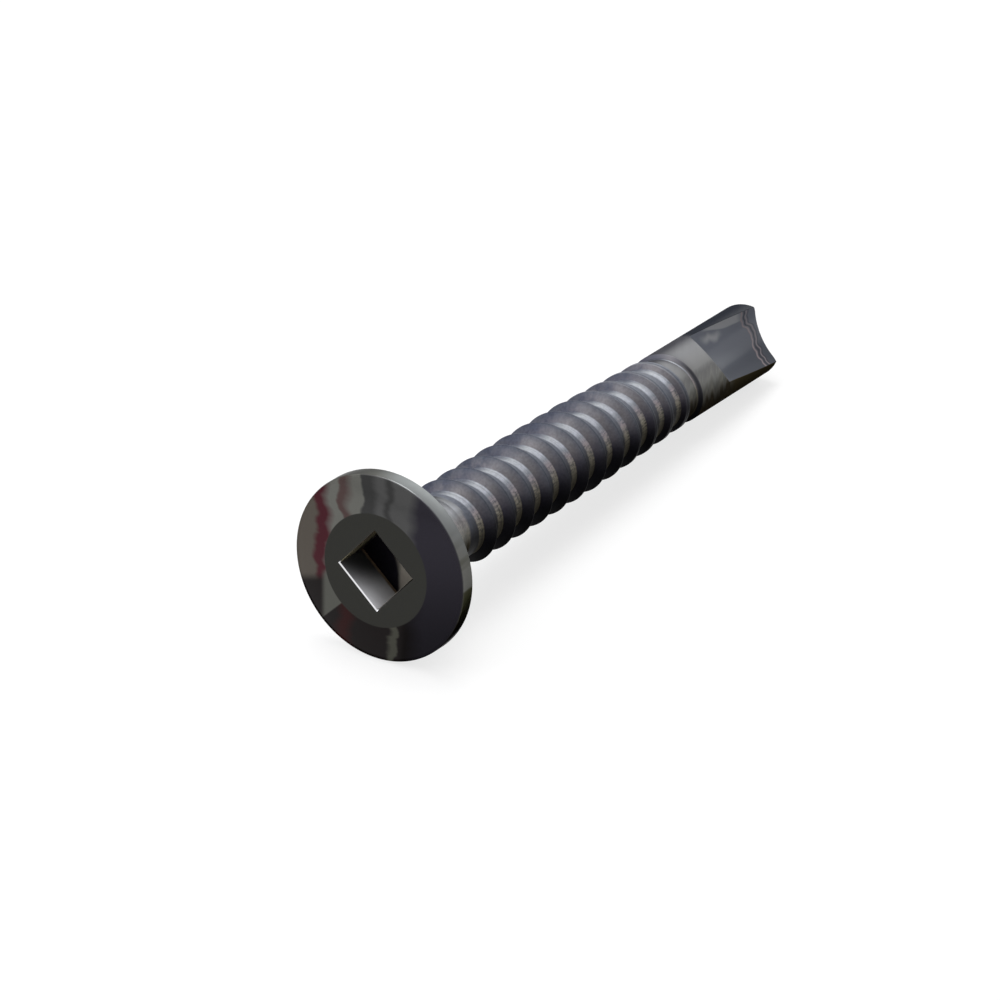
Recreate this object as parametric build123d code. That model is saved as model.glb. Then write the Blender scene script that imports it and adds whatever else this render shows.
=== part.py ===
from build123d import *
import os
from math import asin, atan2, degrees, hypot

# Self-drilling deck screw, number 10 by one and a half inches, square drive.
# Millimetres. It is first formed upright along +Z from the front of the head
# (z = 0) to the drill end, then laid down as it comes to rest on a floor.

# head
head_d = 10.05
flat_d = 6.1
bevel_h = 0.34
rim_h = 0.89
head_h = bevel_h + rim_h
rim_round = 0.09

# square drive recess
square = 3.05
square_depth = 2.2
square_turn = 37.1
mouth_bevel = 0.07

# shank
length = 38.1
shoulder_d = 6.0         # tapered shoulder that carries the recess under the head
shoulder_end = 5.63
thread_d = 4.83
thread_depth = 0.525
neck_relief = 0.01       # the neck's radius is this much under the thread's root
body_step = 0.24         # and the drill body's this much over it
end_bevel = 0.12

root_d = thread_d - 2 * thread_depth
neck_d = root_d - 2 * neck_relief
body_d = root_d + 2 * body_step

# thread: one start, right hand
pitch = 1.825
flank = 0.315            # axial width of each flank at full depth
crest = 0.08             # axial width of the sharp crest
first_corner = 7.07      # root corner of the first full flank, at azimuth 0
lead_turns = 1.02
last_turns = 12.42       # where the groove runs out on the drill body
shank_start = 5.98
run_in = (6.33, 6.88)    # the crest rises from the neck here
taper = (19.6, 28.2)     # and sinks to the drill body here

# drill point: two twisted flutes
flute_start = 31.18
flute_radius = 3.96
flute_floor = 0.95
flute_lead = 102.0
flute_turn = 11.8        # azimuth of a flute at the drill end
flute_ramp = 50.0

# azimuth of the upright screw that faces the floor once it lies down
underside = 130.9


def point(r, z):
    return Vector(r, 0, z)


def circles(solid, radius, height):
    return [e for e in solid.edges().filter_by(GeomType.CIRCLE)
            if abs(e.radius - radius) < 0.01 and abs(e.center().Z - height) < 0.01]


def turned(*outline):
    return revolve(make_face(Polyline(*outline, close=True)), Axis.Z)


def head():
    # pancake head with a flat centre, its shoulder and the start of the neck
    solid = turned(
        point(0, 0),
        point(flat_d / 2, 0),
        point(head_d / 2, bevel_h),
        point(head_d / 2, head_h),
        point(shoulder_d / 2, head_h),
        point(neck_d / 2, shoulder_end),
        point(neck_d / 2, shank_start),
        point(0, shank_start),
    )
    rim = circles(solid, head_d / 2, bevel_h) + circles(solid, head_d / 2, head_h)
    solid = fillet(rim, rim_round)
    recess = extrude(Rectangle(square, square), square_depth)
    side = square + 2 * mouth_bevel
    recess += extrude(Rectangle(side, side), mouth_bevel, taper=45)
    return solid - Rot(0, 0, square_turn - 45) * recess


def shank():
    # the blank that the thread is formed in, with the drill body beyond it
    solid = turned(
        point(0, shank_start),
        point(neck_d / 2, shank_start),
        point(neck_d / 2, run_in[0]),
        point(thread_d / 2, run_in[1]),
        point(thread_d / 2, taper[0]),
        point(body_d / 2, taper[1]),
        point(body_d / 2, length),
        point(0, length),
    )
    return chamfer(circles(solid, body_d / 2, length), end_bevel)


def groove():
    # the space between two crests, carried along the helix turn by turn
    land = pitch - 2 * flank - crest
    root = root_d / 2
    depth = thread_d / 2 - root
    above = depth + 0.03
    wide = flank * above / depth
    section = make_face(Polyline(
        point(root, -land),
        point(root, 0),
        point(root + above, wide),
        point(root + above, -land - wide),
        close=True,
    ))
    turns = lead_turns + last_turns
    path = []
    for turn in range(int(turns) + 1):
        part_turn = min(1, turns - turn)
        path.append(Pos(0, 0, pitch * turn) * Helix(pitch, pitch * part_turn, root))
    cutter = sweep(section, path=Wire(path), is_frenet=True)
    start = first_corner - pitch * lead_turns
    return Pos(0, 0, start) * Rot(0, 0, -360 * lead_turns) * cutter


def flute():
    # a wide shallow trough that follows a steep helix to the drill end
    reach = length - flute_start + 1.5
    axis_r = flute_floor + flute_radius
    section = Pos(axis_r, 0, 0) * Circle(flute_radius)
    path = Helix(flute_lead, reach, axis_r)
    trough = sweep(section, path=path, is_frenet=True)
    ramp = Pos(body_d / 2, 0, 0) * Rot(0, flute_ramp, 0) * Box(
        20, 20, 10, align=(Align.CENTER, Align.CENTER, Align.MAX))
    trough -= ramp
    turn = flute_turn - 360 * (length - flute_start) / flute_lead
    return Pos(0, 0, flute_start) * Rot(0, 0, turn) * trough


trough = flute()
screw = shank() - groove() - trough - Rot(0, 0, 180) * trough + head()

# lying at rest: the rim of the head and the drill end both touch the floor
span = (length - end_bevel) - (head_h - rim_round)
step = (head_d / 2 - rim_round) - body_d / 2
tilt = degrees(atan2(step, span) + asin(rim_round / hypot(step, span)))
screw = Rot(0, 90 + tilt, 0) * Rot(0, 0, -underside) * screw
box = screw.bounding_box()
screw = Pos(-box.center().X, -box.center().Y, -box.min.Z) * screw

os.makedirs("parts", exist_ok=True)
export_step(screw, "parts/screw.step")
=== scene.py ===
import bpy
import bmesh
from math import acos, asin, atan2, ceil, cos, degrees, hypot, pi, radians, sin, sqrt, tan
from mathutils import Matrix, Quaternion, Vector


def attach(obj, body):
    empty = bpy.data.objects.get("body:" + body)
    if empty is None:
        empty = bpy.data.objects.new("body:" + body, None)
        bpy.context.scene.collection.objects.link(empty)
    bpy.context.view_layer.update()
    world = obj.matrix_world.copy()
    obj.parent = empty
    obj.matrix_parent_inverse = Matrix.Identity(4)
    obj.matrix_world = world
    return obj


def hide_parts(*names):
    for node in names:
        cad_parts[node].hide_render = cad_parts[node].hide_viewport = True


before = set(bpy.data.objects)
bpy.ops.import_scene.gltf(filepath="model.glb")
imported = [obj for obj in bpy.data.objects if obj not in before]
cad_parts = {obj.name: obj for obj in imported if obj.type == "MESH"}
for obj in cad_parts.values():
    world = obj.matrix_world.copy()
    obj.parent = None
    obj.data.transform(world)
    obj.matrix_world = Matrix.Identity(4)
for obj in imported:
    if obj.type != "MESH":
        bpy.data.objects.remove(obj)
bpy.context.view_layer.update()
scene = bpy.context.scene
print("frame loaded")

# sizes in millimetres along the screw's own axis, from the front of the head
headForm = {
    "across": 10.05,
    "flatAcross": 6.1,
    "bevelHeight": 0.34,
    "height": 1.23,
    "rimRound": 0.09,
    "shoulderAcross": 6.0,
    "shoulderEnd": 5.63,
    "square": 3.05,
    "squareDepth": 2.2,
    "squareTurn": 37.1,
    "mouthBevel": 0.07,
    "flatRound": 0.12,    # roundings at the edge of the flat centre and where the neck begins
    "neckRound": 0.3,
    "underside": 130.9,   # azimuth that faces the floor
}
threadForm = {
    "neckAcross": 3.76,
    "crestAcross": 4.83,
    "rootAcross": 3.78,
    "bodyAcross": 4.26,
    "start": 5.98,
    "end": 30.6,
    "pitch": 1.825,
    "flank": 0.315,
    "crest": 0.08,
    "firstCorner": 7.07,
    "leadTurns": 1.02,
    "lastTurns": 12.42,
    "runIn": (6.33, 6.88),
    "taper": (19.6, 28.2),
    "rootRound": 0.05,
    "crestRound": 0.05,
}
pointForm = {
    "length": 38.1,
    "fluteStart": 31.18,
    "fluteRadius": 3.96,
    "fluteFloor": 0.95,
    "fluteLead": 102.0,
    "fluteTurn": 11.8,
    "ramp": 50.0,
    "endBevel": 0.12,
}
meshSteps = {
    "acrossFlute": 38,
    "acrossLand": 26,
    "plainBody": 4,
    "ramp": 8,
    "fluteLength": 30,
}


def roundedPath(corners, radii, steps=4):
    # a chain of (z, r) points with its inner corners rounded
    path = [corners[0]]
    for before, corner, after, radius in zip(corners, corners[1:], corners[2:], radii):
        inX, inY = corner[0] - before[0], corner[1] - before[1]
        outX, outY = after[0] - corner[0], after[1] - corner[1]
        inLong, outLong = hypot(inX, inY), hypot(outX, outY)
        if inLong < 1e-9 or outLong < 1e-9:
            path += [corner] * (steps + 1)
            continue
        inX, inY, outX, outY = inX / inLong, inY / inLong, outX / outLong, outY / outLong
        turn = atan2(inX * outY - inY * outX, inX * outX + inY * outY)
        reach = min(radius * abs(tan(turn / 2)), inLong * 0.49, outLong * 0.49)
        for step in range(steps + 1):
            t = step / steps
            # a quadratic arc between the two tangent points
            a, b, c = (1 - t) ** 2, 2 * t * (1 - t), t ** 2
            path.append((
                a * (corner[0] - inX * reach) + b * corner[0] + c * (corner[0] + outX * reach),
                a * (corner[1] - inY * reach) + b * corner[1] + c * (corner[1] + outY * reach),
            ))
    return path + [corners[-1]]


def fluteAzimuth(z):
    return pointForm["fluteTurn"] + 360 * (z - pointForm["length"]) / pointForm["fluteLead"]


def restTilt():
    # the axis leans this much when the rim of the head and the drill end touch the floor
    h, p = headForm, pointForm
    span = (p["length"] - p["endBevel"]) - (h["height"] - h["rimRound"])
    step = (h["across"] / 2 - h["rimRound"]) - bodyR
    return atan2(step, span) + asin(h["rimRound"] / hypot(step, span))


def fluteHalf():
    # half the angle that a flute takes up on the drill body, in degrees
    sides = fluteAxis ** 2 + bodyR ** 2 - pointForm["fluteRadius"] ** 2
    return degrees(acos(sides / (2 * fluteAxis * bodyR)))


bodyR = threadForm["bodyAcross"] / 2
fluteAxis = pointForm["fluteFloor"] + pointForm["fluteRadius"]
fluteEdge = fluteHalf()
tilt = restTilt()


def roundAngles():
    # one set of azimuths for all the rings: flute edges and recess corners are among them
    base = fluteAzimuth(threadForm["end"])
    flute, land = meshSteps["acrossFlute"], meshSteps["acrossLand"]
    angles = []
    for half in (0, 180):
        angles += [base + half - fluteEdge + 2 * fluteEdge * i / flute for i in range(flute)]
        angles += [base + half + fluteEdge + (180 - 2 * fluteEdge) * i / land for i in range(land)]
    angles += [headForm["squareTurn"] + 90 * i for i in range(4)]
    angles = sorted((a - base + fluteEdge) % 360 + base - fluteEdge for a in angles)
    return [a for a, b in zip(angles, angles[1:] + [angles[0] + 360]) if b - a > 0.05]


def headChain(azimuth):
    # from the middle of the recess floor, over the face and the rim, to the start of the thread
    h = headForm
    half = h["square"] / 2
    turned = radians(azimuth - h["squareTurn"] + 45)
    side = 1 / max(abs(cos(turned)), abs(sin(turned)))
    chain = [(h["squareDepth"], half * side * t) for t in (0, 0.5, 1)]
    chain += [(h["mouthBevel"] + (h["squareDepth"] - h["mouthBevel"]) * t, half * side) for t in (0.5, 0)]
    mouth = (half + h["mouthBevel"]) * side
    flat = h["flatAcross"] / 2
    chain += [(0, mouth + (flat - mouth) * t) for t in (0, 0.5)]
    rim = h["across"] / 2
    outline = roundedPath(
        [(0, mouth + (flat - mouth) * 0.8), (0, flat), (h["bevelHeight"], rim), (h["height"], rim),
         (h["height"], h["shoulderAcross"] / 2), (h["shoulderEnd"], threadForm["neckAcross"] / 2),
         (threadForm["start"], threadForm["neckAcross"] / 2)],
        [h["flatRound"], h["rimRound"], h["rimRound"], 0.0, h["neckRound"]])
    return chain + outline


def envelope(z):
    # radius of the blank that the thread is formed in
    t = threadForm
    neck, top = t["neckAcross"] / 2, t["crestAcross"] / 2
    if z < t["runIn"][0]:
        return neck
    if z < t["runIn"][1]:
        return neck + (top - neck) * (z - t["runIn"][0]) / (t["runIn"][1] - t["runIn"][0])
    if z < t["taper"][0]:
        return top
    return top + (bodyR - top) * min(1, (z - t["taper"][0]) / (t["taper"][1] - t["taper"][0]))


def threadRow(turns):
    # one pitch of the thread, from mid root to mid root, at that many turns past azimuth 0
    t = threadForm
    root = t["rootAcross"] / 2
    corner = t["firstCorner"] + t["pitch"] * turns
    wide = 2 * t["flank"] + t["crest"]
    land = t["pitch"] - wide
    top = envelope(corner + t["flank"] + t["crest"] / 2)

    def grooveFloor(at):
        # the groove starts in the neck and runs out on the drill body
        return top if at < -t["leadTurns"] else bodyR if at > t["lastTurns"] else root

    def flankWidth(floor):
        return t["flank"] * min(1, max(0, (top - floor) / (t["crestAcross"] / 2 - root)))

    here, there = grooveFloor(turns), grooveFloor(turns + 1)
    up, down = flankWidth(here), wide - flankWidth(there)
    corners = [(-land / 2, here), (0, here), (up, max(top, here)), (down, max(top, there)),
               (wide, there), (t["pitch"] - land / 2, there)]
    row = roundedPath(corners, [t["rootRound"], t["crestRound"], t["crestRound"], t["rootRound"]])
    return [(min(t["end"], max(t["start"], corner + z)), r) for z, r in row]


def threadChain(azimuth, first, last):
    t = threadForm
    chain = []
    for turn in range(first, last):
        chain += threadRow(azimuth / 360 + turn)[:-1]
    return [(z, envelope(z)) if z <= t["start"] or z >= t["end"] else (z, r) for z, r in chain]


def pointChain(azimuth):
    # along the drill body, over the ramp and down the flute to the end
    p = pointForm
    base = fluteAzimuth(threadForm["end"])
    off = (azimuth - base + 90) % 180 - 90
    slope = tan(radians(p["ramp"]))
    inside = abs(off) <= fluteEdge + 1e-6
    near = max(-fluteEdge, min(fluteEdge, off))
    a = radians(near)
    trough = fluteAxis * cos(a) - sqrt(max(0, p["fluteRadius"] ** 2 - (fluteAxis * sin(a)) ** 2))

    def turned(z):
        return radians(near + 360 * (z - p["fluteStart"]) / p["fluteLead"])

    # both ends of the ramp move as the flute turns, so they are closed in on
    top, foot = p["fluteStart"], p["fluteStart"] + 1.4
    for _ in range(6):
        top = p["fluteStart"] + slope * bodyR * (1 - cos(turned(top)))
        foot = p["fluteStart"] + slope * (bodyR - trough * cos(turned(foot)))
    foot = max(foot, top)
    start, bevel, end = threadForm["end"], p["length"] - p["endBevel"], p["length"]
    plain, ramp, rest = meshSteps["plainBody"], meshSteps["ramp"], meshSteps["fluteLength"]
    chain = [(start + (top - start) * i / plain, bodyR) for i in range(1, plain + 1)]
    low = trough if inside else bodyR
    for i in range(1, ramp + 1):
        z = top + (foot - top) * i / ramp
        onRamp = (bodyR - (z - p["fluteStart"]) / slope) / cos(turned(z))
        chain.append((z, min(bodyR, max(low, onRamp)) if inside else bodyR))
    chain += [(foot + (bevel - foot) * i / rest, low) for i in range(1, rest + 1)]
    chain.append((end, min(low, bodyR - p["endBevel"])))
    chain.append((end, 0))
    return chain


def buildScrew():
    angles = roundAngles()
    t = threadForm
    first = int((t["start"] - t["firstCorner"]) // t["pitch"]) - 1
    last = ceil((t["end"] - t["firstCorner"]) / t["pitch"]) + 2
    rows = len(threadRow(0)) - 1
    bm = bmesh.new()

    def place(azimuth, z, r):
        # beyond the thread the columns follow the twist of the flutes
        twist = 360 * max(0, z - t["end"]) / pointForm["fluteLead"]
        a = radians(azimuth + twist)
        return bm.verts.new((r * cos(a), r * sin(a), z))

    def skin(chainOf, shift=0):
        # faces between neighbouring columns; the last one meets the first after a shift of some points
        columns = [[place(a, z, r) for z, r in chainOf(a)] for a in angles]
        for k, here in enumerate(columns):
            there = columns[(k + 1) % len(columns)]
            jump = shift if k == len(columns) - 1 else 0
            for j in range(len(here) - 1 - jump):
                bm.faces.new((here[j], there[j + jump], there[j + 1 + jump], here[j + 1]))

    skin(headChain)
    skin(lambda a: threadChain(a, first, last), shift=rows)
    skin(lambda a: [(t["end"], bodyR)] + pointChain(a))
    bmesh.ops.remove_doubles(bm, verts=bm.verts, dist=1e-4)
    bmesh.ops.recalc_face_normals(bm, faces=bm.faces)
    mesh = bpy.data.meshes.new("screwMesh")
    bm.to_mesh(mesh)
    openEdges = sum(1 for e in bm.edges if len(e.link_faces) != 2)
    bm.free()
    print("screw mesh:", len(mesh.polygons), "faces,", openEdges, "open edges")
    # kept for the material: distance along and from the axis, and the direction round it
    measures = {"along": [], "fromAxis": [], "front": [], "side": []}
    for v in mesh.vertices:
        x, y, z = v.co
        away = hypot(x, y)
        measures["along"].append(z)
        measures["fromAxis"].append(away)
        measures["front"].append(x / max(away, 0.01))
        measures["side"].append(y / max(away, 0.01))
    for name, values in measures.items():
        mesh.attributes.new(name, "FLOAT", "POINT").data.foreach_set("value", values)
    # laid down at rest, in metres
    turned = Matrix.Rotation(radians(-headForm["underside"]), 4, "Z")
    mesh.transform(Matrix.Scale(0.001, 4) @ Matrix.Rotation(pi / 2 + tilt, 4, "Y") @ turned)
    low = [min(v.co[i] for v in mesh.vertices) for i in range(3)]
    high = [max(v.co[i] for v in mesh.vertices) for i in range(3)]
    mesh.transform(Matrix.Translation((-(low[0] + high[0]) / 2, -(low[1] + high[1]) / 2, -low[2])))
    mesh.shade_smooth()
    mesh.set_sharp_from_angle(angle=radians(22))
    screw = bpy.data.objects.new("screwBody", mesh)
    scene.collection.objects.link(screw)
    return screw


# painted reflections: tints that the surroundings throw on the bevel
tints = {
    "olive": (0.08, 0.07, 0.06),
    "wine": (0.055, 0.015, 0.020),
    "pale": (0.12, 0.12, 0.11),
    "brown": (0.070, 0.047, 0.045),
    "moss": (0.055, 0.055, 0.045),
    "slate": (0.04, 0.04, 0.04),
    "grey": (0.07, 0.07, 0.07),
    "night": (0.026, 0.024, 0.031),
    "deepShade": (0.013, 0.011, 0.011),
    "ember": (0.027, 0.010, 0.010),
}

steelLook = {
    # colours round the shank with painted light, shade and reflections, from its upper left outline (0)
    # past the front (0.5) to the lower right (1)
    "flank": [
        (0.00, (0.11, 0.11, 0.14)), (0.22, (0.25, 0.24, 0.25)), (0.50, (0.16, 0.15, 0.16)),
        (0.74, (0.065, 0.060, 0.080)), (1.00, (0.035, 0.034, 0.045)),
    ],
    "land": [
        (0.00, (0.08, 0.09, 0.12)), (0.30, (0.13, 0.14, 0.17)), (0.50, (0.12, 0.13, 0.16)),
        (0.80, (0.05, 0.05, 0.06)), (1.00, (0.03, 0.03, 0.03)),
    ],
    # painted highlight on the land beside each root corner
    "paintedRootHighlight": [
        (0.07, (0.13, 0.14, 0.17)), (0.20, (0.48, 0.50, 0.53)), (0.38, (0.50, 0.52, 0.58)),
        (0.45, (0.31, 0.33, 0.37)), (0.56, (0.40, 0.35, 0.37)), (0.72, (0.40, 0.37, 0.30)),
        (1.00, (0.20, 0.17, 0.10)),
    ],
    "body": [
        (0.00, (0.06, 0.06, 0.07)), (0.22, (0.14, 0.14, 0.15)), (0.46, (0.21, 0.21, 0.21)),
        (0.53, (0.16, 0.16, 0.16)), (0.65, (0.24, 0.24, 0.23)), (0.75, (0.18, 0.18, 0.16)),
        (0.82, (0.26, 0.25, 0.22)), (0.92, (0.11, 0.09, 0.06)), (1.00, (0.15, 0.12, 0.08)),
    ],
    # the painted highlight's width beside the root corner
    "bandWidth": 0.49,       # mm, beside the root corner
    # painted shade: blue-black patches near the upper outline
    "outlineShade": (0.060, 0.068, 0.100),     # blue-black patches near the upper outline
    # painted shade on the narrow land above the flute
    "bodyFarShade": (0.030, 0.033, 0.042),  # the narrow land above the flute
    # painted brown reflection on the land below the flute
    "bodyFootReflection": (0.150, 0.122, 0.066),  # and the one below it
    "flute": (0.105, 0.112, 0.133),
    # painted highlight along the flute's upper edge
    "fluteSheen": (0.330, 0.335, 0.345),
    # painted reflection lines; the dark one is also the painted shade line in the run-out corner
    "lightLine": (0.250, 0.210, 0.220),
    "darkLine": (0.052, 0.052, 0.060),
    # wavy painted reflection lines in the flutes: nearest and furthest mm from the drill end, softness,
    # strength, colour
    "fluteLines": [
        (1.06, 1.20, 0.06, 1.0, "lightLine"), (0.82, 0.96, 0.05, 0.8, "darkLine"),
        (0.66, 0.74, 0.04, 1.0, "lightLine"), (0.50, 0.58, 0.04, 0.6, "darkLine"),
    ],
    # painted shade on the underside
    "under": 0.80,           # how much darker the underside is
    "shankMetal": 0.12,
    "shankSheen": 0.25,
    # rim: a painted highlight at the top, darker patches, and painted shade at the foot
    "rimTopHighlight": (0.168, 0.175, 0.178),
    "rim": (0.118, 0.118, 0.110),
    "rimPatch": (0.056, 0.056, 0.042),
    "rimFootShade": (0.022, 0.020, 0.014),
    "disc": (0.031, 0.031, 0.028),
    # recess walls and floor: painted highlight, reflection and shade on one steel
    "recessWallHighlight": (0.46, 0.46, 0.48),
    "recessSideShade": (0.070, 0.058, 0.044),
    "recessOliveReflection": (0.330, 0.300, 0.190),
    "recessFootShade": (0.110, 0.080, 0.052),
    "mouthEdgeHighlight": (0.80, 0.80, 0.82),
    "recessFloorShade": (0.008, 0.007, 0.010),
    "recessCornerLight": (0.270, 0.248, 0.212),
    "wallTilt": 0.55,        # turns the bright recess wall's sheen towards the mouth
    "faceRoughness": 0.10,
    "flankRoughness": 0.34,
    "bodyRoughness": 0.20,
    # position across and down the face: constant, per metre of y and of z, per mm of depth
    "across": (0.3933, -79.0, 2.32, 0.0557),
    "down": (0.9870, -23.63, -85.93, -0.0412),
    # fields of painted reflection tint across the bevel, from and to, above and below the middle of the
    # head; the ones below are darker with painted shade
    "bevelTop": [
        (0.00, 0.11, "olive"), (0.13, 0.16, "wine"), (0.20, 0.23, "pale"), (0.24, 0.26, "brown"),
        (0.30, 0.34, "pale"), (0.35, 0.39, "slate"), (0.42, 0.44, "grey"), (0.46, 0.47, "slate"),
        (0.49, 0.56, "grey"), (0.62, 1.00, "night"),
    ],
    "bevelLow": [
        (0.00, 0.20, "deepShade"), (0.24, 0.26, "ember"), (0.30, 0.45, "deepShade"), (0.47, 0.49, "moss"),
        (0.50, 0.53, "deepShade"), (0.62, 1.00, "night"),
    ],
    # a painted reflection wedge between the upper and lower fields
    "bevelWedge": (0.080, 0.081, 0.072),
}


def makeSteel(look):
    material = bpy.data.materials.new("darkSteel")
    material.use_nodes = True
    nodes, links = material.node_tree.nodes, material.node_tree.links
    shader = nodes["Principled BSDF"]

    def give(socket, value):
        if hasattr(value, "is_output"):
            links.new(value, socket)
        elif hasattr(value, "__len__"):
            socket.default_value = (*value, 1) if len(value) == 3 and socket.type == "RGBA" else value
        else:
            socket.default_value = value

    def work(kind, a, b=0.0):
        node = nodes.new("ShaderNodeMath")
        node.operation = kind
        for socket, value in zip(node.inputs, (a, b)):
            give(socket, value)
        return node.outputs[0]

    def plus(a, b):
        return work("ADD", a, b)

    def times(a, b):
        return work("MULTIPLY", a, b)

    def fade(value, low, high, start=0.0, end=1.0):
        node = nodes.new("ShaderNodeMapRange")
        node.interpolation_type = "SMOOTHSTEP"
        names = ("Value", "From Min", "From Max", "To Min", "To Max")
        for name, given in zip(names, (value, low, high, start, end)):
            give(node.inputs[name], given)
        return node.outputs[0]

    def choose(amount, start, end):
        return fade(amount, 0.0, 1.0, start, end)

    def between(value, low, high, soft):
        return times(fade(value, low - soft, low + soft), fade(value, high + soft, high - soft))

    def blend(amount, a, b, kind="MIX"):
        node = nodes.new("ShaderNodeMix")
        node.data_type = "RGBA"
        node.blend_type = kind
        give(node.inputs["Factor"], amount)
        give(node.inputs[6], a)
        give(node.inputs[7], b)
        return node.outputs[2]

    def vector(x, y, z):
        node = nodes.new("ShaderNodeCombineXYZ")
        for socket, value in zip(node.inputs, (x, y, z)):
            give(socket, value)
        return node.outputs[0]

    def scaled(colour, factor):
        return blend(1.0, colour, vector(factor, factor, factor), "MULTIPLY")

    def measure(name):
        node = nodes.new("ShaderNodeAttribute")
        node.attribute_name = name
        return node.outputs["Fac"]

    def noise(where, scale=1.0, detail=2.0):
        node = nodes.new("ShaderNodeTexNoise")
        links.new(where, node.inputs["Vector"])
        node.inputs["Scale"].default_value = scale
        node.inputs["Detail"].default_value = detail
        return node.outputs["Fac"]

    def stretchedNoise(first, perY, perZ, detail=2.0):
        # noise with a scale of its own in each direction, in waves to the metre for y and z
        return noise(vector(first, times(y, perY), times(z, perZ)), detail=detail)

    def streaks(stops, position):
        node = nodes.new("ShaderNodeValToRGB")
        ramp = node.color_ramp.elements
        while len(ramp) < len(stops):
            ramp.new(0.5)
        for stop, (at, colour) in zip(ramp, stops):
            stop.position = at
            stop.color = (*colour, 1)
        links.new(position, node.inputs["Fac"])
        return node.outputs["Color"]

    def fields(spans, position):
        # each tint fills its span, and turns into the next one on the way there
        return streaks([(at, tints[name]) for start, end, name in spans for at in (start, end)], position)

    place = nodes.new("ShaderNodeTexCoord").outputs["Object"]
    split = nodes.new("ShaderNodeSeparateXYZ")
    links.new(place, split.inputs[0])
    x, y, z = split.outputs
    along, fromAxis, front, side = (measure(name) for name in ("along", "fromAxis", "front", "side"))
    towardsSide = times(fromAxis, side)
    h, t, p = headForm, threadForm, pointForm

    # across one pitch in mm from the nearest root corner, and the turn of the thread it belongs to
    roundTurn = times(work("ARCTAN2", side, front), 0.5 / pi)
    turns = work("DIVIDE", work("SUBTRACT", along, t["firstCorner"]), t["pitch"])
    turns = work("SUBTRACT", turns, roundTurn)
    nearest = work("ROUND", turns)
    phase = times(work("SUBTRACT", turns, nearest), t["pitch"])
    turn = plus(nearest, roundTurn)

    # the zones: 1 inside and 0 outside. The thread has its full form up to a turn before its end
    threaded = between(turn, -t["leadTurns"], t["lastTurns"], 0.02)
    threaded = times(threaded, between(along, t["start"], t["end"], 0.1))
    lastFormed = t["lastTurns"] - 1
    beforeEnd = fade(turn, lastFormed + 0.06, lastFormed - 0.06)
    formed = times(beforeEnd, threaded)
    crest = between(phase, t["flank"] - 0.015, t["flank"] + t["crest"] + 0.015, 0.02)
    inFlute = times(fade(along, p["fluteStart"] + 0.02, p["fluteStart"] + 0.12),
                    fade(fromAxis, bodyR - 0.008, bodyR - 0.025))
    farLand = times(fade(along, p["fluteStart"] + 0.62, p["fluteStart"] + 1.42), fade(side, -0.45, -0.62))
    nearLand = times(fade(along, p["fluteStart"] + 0.82, p["fluteStart"] + 2.02), fade(side, 0.42, 0.60))
    rimR, flatR = h["across"] / 2, h["flatAcross"] / 2
    onRim = times(fade(fromAxis, rimR - 0.225, rimR - 0.125),
                  fade(along, h["height"] + 0.09, h["height"] + 0.03))
    onFace = fade(along, h["bevelHeight"] + 0.06, h["bevelHeight"] - 0.02)
    nearRecess = fade(fromAxis, 2.3, 2.25)
    inRecess = times(times(fade(along, 0.03, 0.07), nearRecess),
                     fade(along, h["squareDepth"] + 0.15, h["squareDepth"] + 0.05))

    # thread: painted light and shade round the girth, and a painted highlight on the land beside each
    # root corner, with fine lines that follow the helix
    girth = plus(times(side, 0.5), 0.5)
    cloudy = fade(noise(place, 900.0, 4.0), 0.35, 0.65)
    patchy = fade(noise(place, 420.0), 0.4, 0.6, -0.05, 0.05)
    grain = fade(noise(place, 7000.0), 0.3, 0.7, 0.90, 1.10)
    lines = fade(noise(vector(times(phase, 10), 0, times(x, 60))), 0.35, 0.65, 0.70, 1.10)
    ticks = fade(stretchedNoise(times(phase, 2.5), 8000, 8000), 0.35, 0.65, -0.55, 0.20)
    ticks = times(ticks, between(side, 0.0, 0.75, 0.12))
    around = plus(girth, patchy)
    flank, land = streaks(look["flank"], around), streaks(look["land"], around)
    flank = blend(times(cloudy, 0.35), flank, land)
    thread = blend(fade(phase, 0.08, 0.38), flank, land)
    thread = blend(fade(phase, 0.02, -0.01), thread, land)
    haze = stretchedNoise(times(phase, 1.5), 1300, 1300)
    # painted shade patches near the upper outline
    outlineShade = times(fade(side, -0.66, -0.95), fade(haze, 0.42, 0.62))
    thread = blend(times(outlineShade, 0.70), thread, look["outlineShade"])
    # crests painted darker, as shade
    thread = scaled(thread, choose(crest, 1.0, 0.78))
    rootHighlight = streaks(look["paintedRootHighlight"], plus(girth, times(patchy, 0.5)))
    bandEdge = -look["bandWidth"]
    onRootHighlight = times(fade(phase, bandEdge - 0.08, bandEdge + 0.08), fade(phase, 0.03, -0.03))
    thread = blend(times(onRootHighlight, plus(lines, ticks)), thread, rootHighlight)
    thread = scaled(thread, grain)

    # drill body with painted reflection streaks that stand upright in the front view, and painted shade
    # below
    bulge = plus(times(front, 1.25), times(side, 0.98))
    upright = plus(along, times(fromAxis, bulge))
    jag = fade(noise(vector(times(upright, 2.6), times(side, 0.6), 0)), 0.3, 0.7, -0.07, 0.07)
    body = streaks(look["body"], plus(girth, times(jag, fade(side, -0.15, 0.25, 0.15, 1.0))))
    body = blend(farLand, body, look["bodyFarShade"])
    body = blend(nearLand, body, look["bodyFootReflection"])
    # the neck takes lines of the painted root highlight, with painted shade towards its upper outline
    collar = scaled(blend(times(plus(lines, ticks), 0.40), body, rootHighlight), fade(side, -0.2, -0.7, 1.0, 0.54))
    body = blend(fade(along, 8.0, 7.6), body, collar)

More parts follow.
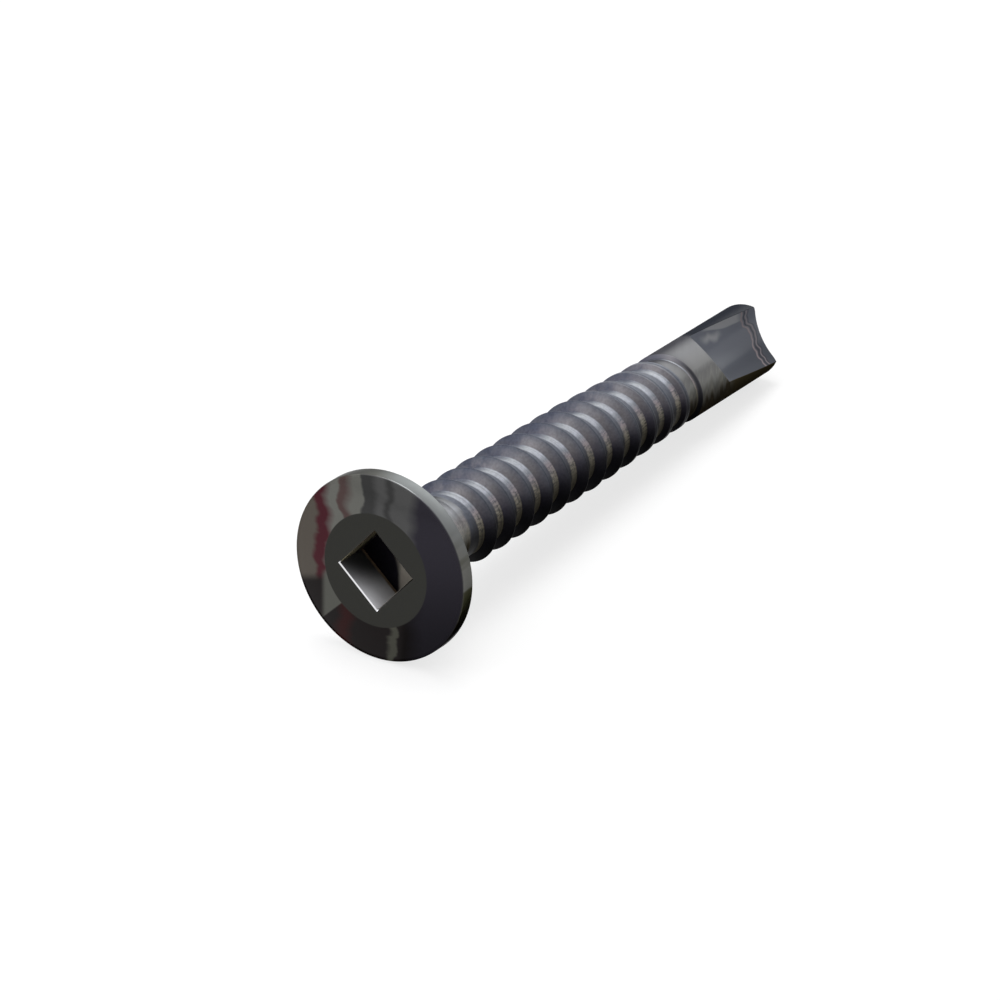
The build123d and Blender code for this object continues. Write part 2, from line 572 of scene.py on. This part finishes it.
    # the plain turn where the thread runs out, with the painted root highlight, the flank's painted
    # shading, and a painted shade line in its corner
    runout = blend(between(phase, -0.09, 0.0, 0.025), body, rootHighlight)
    runout = blend(between(phase, 0.02, 0.17, 0.03), runout, flank)
    gap = times(between(phase, 0.05, 0.13, 0.03), fade(side, -0.60, -0.05))
    runout = blend(gap, runout, look["darkLine"])
    thread = blend(beforeEnd, runout, thread)

    # flutes: painted shading across them, a painted highlight wedge along the upper edge, and wavy
    # painted light and dark reflection lines along the ends
    edgeSide = plus(plus(towardsSide, 1.86), times(work("SUBTRACT", along, 32.2), -0.083))
    swirl = fade(stretchedNoise(times(along, 0.9), 500, 500), 0.3, 0.7, -0.12, 0.12)
    flute = scaled(look["flute"], fade(edgeSide, 0.3, 2.9, 1.42, 0.74))
    wide = fade(along, 33.2, 35.3, 0.06, 0.34)
    wedge = times(between(along, 33.4, 36.6, 0.4), fade(edgeSide, plus(wide, 0.10), wide))
    patch = times(between(along, 33.0, 34.5, 0.4), between(plus(edgeSide, swirl), 0.38, 0.72, 0.16))
    flute = blend(times(work("MAXIMUM", wedge, patch), 0.75), flute, look["fluteSheen"])
    curl = fade(stretchedNoise(0, 900, 900), 0.3, 0.7, -0.28, 0.28)
    fromEnd = work("SUBTRACT", p["length"], plus(along, curl))
    for low, high, soft, amount, name in look["fluteLines"]:
        flute = blend(times(between(fromEnd, low, high, soft), amount), flute, look[name])
    shank = blend(threaded, body, thread)
    # painted shade: the shank darker on its underside
    shank = scaled(shank, fade(side, 0.25, 0.95, 1.0, 1 - look["under"]))
    shank = blend(inFlute, shank, flute)

    def position(terms):
        start, perY, perZ, perDepth = terms
        level = plus(times(y, perY), times(z, perZ))
        return plus(plus(level, times(along, perDepth)), start)

    # rim, from a painted highlight above to painted shade at the foot below, with darker patches
    across, down = position(look["across"]), position(look["down"])
    rim = blend(fade(stretchedNoise(0, 500, 900), 0.46, 0.56), look["rim"], look["rimPatch"])
    rim = blend(fade(down, 0.70, 0.84), rim, look["rimFootShade"])
    rim = blend(fade(down, 0.52, 0.30), rim, look["rimTopHighlight"])
    rim = blend(fade(across, 0.55, 0.38), rim, look["rim"])
    shank = blend(onRim, shank, rim)

    # face: dull centre, and a bevel with upright streaks of painted reflection tint, darker lower down
    # with painted shade
    slow = fade(stretchedNoise(0, 200, 700, 1.0), 0.2, 0.8, -0.022, 0.022)
    fine = fade(stretchedNoise(7, 500, 2200), 0.2, 0.8, -0.008, 0.008)
    tinted = plus(across, plus(slow, fine))
    lower = times(fade(down, 0.55, 0.60), fade(across, 0.40, 0.36))
    lower = work("MAXIMUM", lower, fade(down, 0.60, 0.72))
    bevel = blend(lower, fields(look["bevelTop"], tinted), fields(look["bevelLow"], tinted))
    wedge = times(fade(down, 0.53, 0.57), fade(across, 0.142, 0.172))
    wedge = times(wedge, fade(plus(down, times(across, 0.75)), 0.890, 0.880))
    bevel = blend(wedge, bevel, look["bevelWedge"])
    # painted shade: the bevel darker lower down
    bevel = scaled(bevel, fade(times(down, fade(across, 0.46, 0.56)), 0.40, 0.95, 1.0, 0.42))
    face = blend(fade(fromAxis, flatR - 0.01, flatR + 0.03), look["disc"], bevel)
    colour = blend(onFace, shank, face)

    # recess, all painted light and shade on one steel: one wall with a painted highlight, a painted olive
    # reflection on the one beside it, painted shade at the bright wall's foot and on the floor, with a
    # painted light corner
    a = radians(h["squareTurn"] + 135)
    facing = plus(times(front, cos(a)), times(side, sin(a)))
    aside = plus(times(front, -sin(a)), times(side, cos(a)))
    aboveFloor = fade(along, h["squareDepth"] - 0.01, h["squareDepth"] - 0.08)
    lit, beside = times(fade(facing, 0.68, 0.72), aboveFloor), times(fade(aside, 0.68, 0.72), aboveFloor)
    wall = scaled(look["recessWallHighlight"], fade(plus(aside, times(along, 0.30)), 0.95, -0.75, 0.05, 1.0))
    wall = blend(fade(along, h["squareDepth"] - 0.30, h["squareDepth"] - 0.15), wall, look["recessFootShade"])
    olive = between(plus(along, times(facing, 0.3)), 0.20, 1.30, 0.15)
    corner = plus(times(fromAxis, front), times(towardsSide, 0.77))
    recess = blend(times(fade(corner, -0.20, 0.16), 0.9), look["recessFloorShade"], look["recessCornerLight"])
    recess = blend(beside, recess, blend(olive, look["recessSideShade"], look["recessOliveReflection"]))
    recess = blend(lit, recess, wall)
    colour = blend(inRecess, colour, recess)
    # a painted highlight along the mouth's edge
    lip = times(fade(facing, 0.66, 0.70), between(along, 0.010, 0.062, 0.008))
    colour = blend(times(lip, nearRecess), colour, look["mouthEdgeHighlight"])
    links.new(colour, shader.inputs["Base Color"])

    # the bright wall's normal leans out of the recess
    lean = nodes.new("ShaderNodeVectorMath")
    lean.operation = "SCALE"
    lean.inputs[0].default_value = (-cos(tilt), 0, sin(tilt))
    give(lean.inputs["Scale"], times(times(lit, inRecess), look["wallTilt"]))
    leaning = nodes.new("ShaderNodeVectorMath")
    links.new(nodes.new("ShaderNodeNewGeometry").outputs["Normal"], leaning.inputs[0])
    links.new(lean.outputs[0], leaning.inputs[1])
    straight = nodes.new("ShaderNodeVectorMath")
    straight.operation = "NORMALIZE"
    links.new(leaning.outputs[0], straight.inputs[0])
    links.new(straight.outputs[0], shader.inputs["Normal"])

    # the head is bare metal, and the shank has a dull coat with less sheen below, on crests and lands
    shiny = work("MAXIMUM", work("MAXIMUM", onFace, onRim), inRecess)
    metal = fade(side, 0.3, 0.8, look["shankMetal"], 0.0)
    links.new(choose(shiny, metal, 1.0), shader.inputs["Metallic"])
    calm = times(choose(farLand, 1.0, 0.15), choose(times(crest, formed), 1.0, 0.3))
    calm = times(calm, choose(nearLand, 1.0, 0.25))
    # and its smooth parts have none along their outlines
    rolled = work("MAXIMUM", formed, inFlute)
    sheen = times(fade(side, 0.1, 0.7, look["shankSheen"], times(rolled, 0.02)), calm)
    sheen = times(sheen, choose(rolled, fade(side, -0.90, -0.50), 1.0))
    links.new(sheen, shader.inputs["Specular IOR Level"])
    edgeTint = choose(shiny, times(fade(side, 0.2, 0.8, 0.25, 0.04), calm), 0.85)
    edgeTint = work("SUBTRACT", edgeTint, times(onRim, fade(down, 0.50, 0.75, 0.4, 0.78)))
    links.new(vector(edgeTint, edgeTint, edgeTint), shader.inputs["Specular Tint"])

    smear = fade(noise(place, 2500.0, 3.0), 0.3, 0.7, -0.02, 0.03)
    rough = choose(formed, look["bodyRoughness"], look["flankRoughness"])
    rough = choose(shiny, rough, look["faceRoughness"])
    rough = plus(plus(rough, smear), plus(times(inRecess, 0.35), times(onRim, 0.20)))
    links.new(rough, shader.inputs["Roughness"])
    return material


screw = buildScrew()
screw.data.materials.append(makeSteel(steelLook))
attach(screw, "root")
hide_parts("screw")
print("screw built")

studioLook = {
    "floorColour": (0.28, 0.28, 0.28, 1),
    "floorGlow": 0.74,    # white added to the floor's own colour; the shadow shows in the rest
    "floorSize": 3.0,
    "skyLight": 0.30,     # what the white surround adds to matt surfaces
    # heading and height in degrees, distance, width and height in metres, brightness, tint
    "softBoxes": {
        "key": (60, 80, 0.32, 0.34, 0.34, 6.0, (1.0, 1.0, 1.0)),
        "back": (8, 26, 0.36, 0.56, 0.30, 2.0, (0.97, 1.0, 0.97)),
        "fill": (152, 46, 0.30, 0.44, 0.32, 2.4, (0.96, 0.96, 1.0)),
    },
}


def throughSight(nodes, links):
    # 1 for what the camera, metal and glass see, 0 for light on matt surfaces
    path = nodes.new("ShaderNodeLightPath")
    seen = path.outputs["Is Camera Ray"]
    for ray in ("Is Glossy Ray", "Is Transmission Ray"):
        either = nodes.new("ShaderNodeMath")
        either.operation = "MAXIMUM"
        links.new(seen, either.inputs[0])
        links.new(path.outputs[ray], either.inputs[1])
        seen = either.outputs[0]
    return seen


def flatSheet(name, wide, tall):
    mesh = bpy.data.meshes.new(name)
    x, y = wide / 2, tall / 2
    mesh.from_pydata([(-x, -y, 0), (x, -y, 0), (x, y, 0), (-x, y, 0)], [], [(0, 1, 2, 3)])
    sheet = bpy.data.objects.new(name, mesh)
    scene.collection.objects.link(sheet)
    return sheet


def makeFloor(look):
    floor = flatSheet("floor", look["floorSize"], look["floorSize"])
    paper = bpy.data.materials.new("paper")
    paper.use_nodes = True
    nodes, links = paper.node_tree.nodes, paper.node_tree.links
    nodes.clear()
    out = nodes.new("ShaderNodeOutputMaterial")
    diffuse = nodes.new("ShaderNodeBsdfDiffuse")
    diffuse.inputs["Color"].default_value = look["floorColour"]
    glow = nodes.new("ShaderNodeEmission")
    share = nodes.new("ShaderNodeMath")
    share.operation = "MULTIPLY"
    links.new(throughSight(nodes, links), share.inputs[0])
    share.inputs[1].default_value = look["floorGlow"]
    links.new(share.outputs[0], glow.inputs["Strength"])
    both = nodes.new("ShaderNodeAddShader")
    links.new(diffuse.outputs[0], both.inputs[0])
    links.new(glow.outputs[0], both.inputs[1])
    links.new(both.outputs[0], out.inputs["Surface"])
    floor.data.materials.append(paper)


def makeSurround(look):
    world = bpy.data.worlds.new("studio")
    scene.world = world
    world.use_nodes = True
    nodes, links = world.node_tree.nodes, world.node_tree.links
    strength = nodes.new("ShaderNodeMapRange")
    strength.inputs["To Min"].default_value = look["skyLight"]
    strength.inputs["To Max"].default_value = 1.0
    links.new(throughSight(nodes, links), strength.inputs["Value"])
    nodes["Background"].inputs["Color"].default_value = (1, 1, 1, 1)
    links.new(strength.outputs[0], nodes["Background"].inputs["Strength"])


def makeSoftBoxes(look):
    # glowing sheets that fade out towards their edges
    for name, (heading, height, away, wide, tall, bright, tint) in look["softBoxes"].items():
        sheet = flatSheet(name, wide, tall)
        flat = cos(radians(height))
        out = Vector((flat * cos(radians(heading)), flat * sin(radians(heading)), sin(radians(height))))
        sheet.location = out * away
        sheet.rotation_euler = out.to_track_quat("Z", "Y").to_euler()
        material = bpy.data.materials.new(name + "Glow")
        material.use_nodes = True
        nodes, links = material.node_tree.nodes, material.node_tree.links
        nodes.clear()
        place = nodes.new("ShaderNodeTexCoord")
        scaled = nodes.new("ShaderNodeMapping")
        scaled.inputs["Scale"].default_value = (2 / wide, 2 / tall, 1)
        links.new(place.outputs["Object"], scaled.inputs["Vector"])
        reach = nodes.new("ShaderNodeVectorMath")
        reach.operation = "LENGTH"
        links.new(scaled.outputs[0], reach.inputs[0])
        fall = nodes.new("ShaderNodeMapRange")
        fall.interpolation_type = "SMOOTHSTEP"
        fall.inputs["From Min"].default_value = 1.0
        fall.inputs["From Max"].default_value = 0.2
        fall.inputs["To Max"].default_value = bright
        links.new(reach.outputs["Value"], fall.inputs["Value"])
        glow = nodes.new("ShaderNodeEmission")
        glow.inputs["Color"].default_value = (*tint, 1)
        links.new(fall.outputs[0], glow.inputs["Strength"])
        clear = nodes.new("ShaderNodeBsdfTransparent")
        both = nodes.new("ShaderNodeAddShader")
        links.new(glow.outputs[0], both.inputs[0])
        links.new(clear.outputs[0], both.inputs[1])
        out = nodes.new("ShaderNodeOutputMaterial")
        links.new(both.outputs[0], out.inputs["Surface"])
        sheet.data.materials.append(material)


makeFloor(studioLook)
makeSurround(studioLook)
makeSoftBoxes(studioLook)
print("studio set")

viewLook = {
    "place": (-0.1978093, -0.1203210, 0.1233135),
    "aim": (-0.0071798, 0.0, 0.0037851),
    "roll": -0.45,
    "lens": 176.4,
}


def makeCamera(look):
    data = bpy.data.cameras.new("camera")
    camera = bpy.data.objects.new("camera", data)
    scene.collection.objects.link(camera)
    data.sensor_width = 36
    data.lens = look["lens"]
    data.clip_start = 0.01
    data.clip_end = 20
    camera.location = look["place"]
    heading = Vector(look["aim"]) - Vector(look["place"])
    level = heading.to_track_quat("-Z", "Y")
    camera.rotation_euler = (level @ Quaternion((0, 0, 1), radians(look["roll"]))).to_euler()
    scene.camera = camera


makeCamera(viewLook)
scene.view_settings.view_transform = "Standard"
print("camera set")
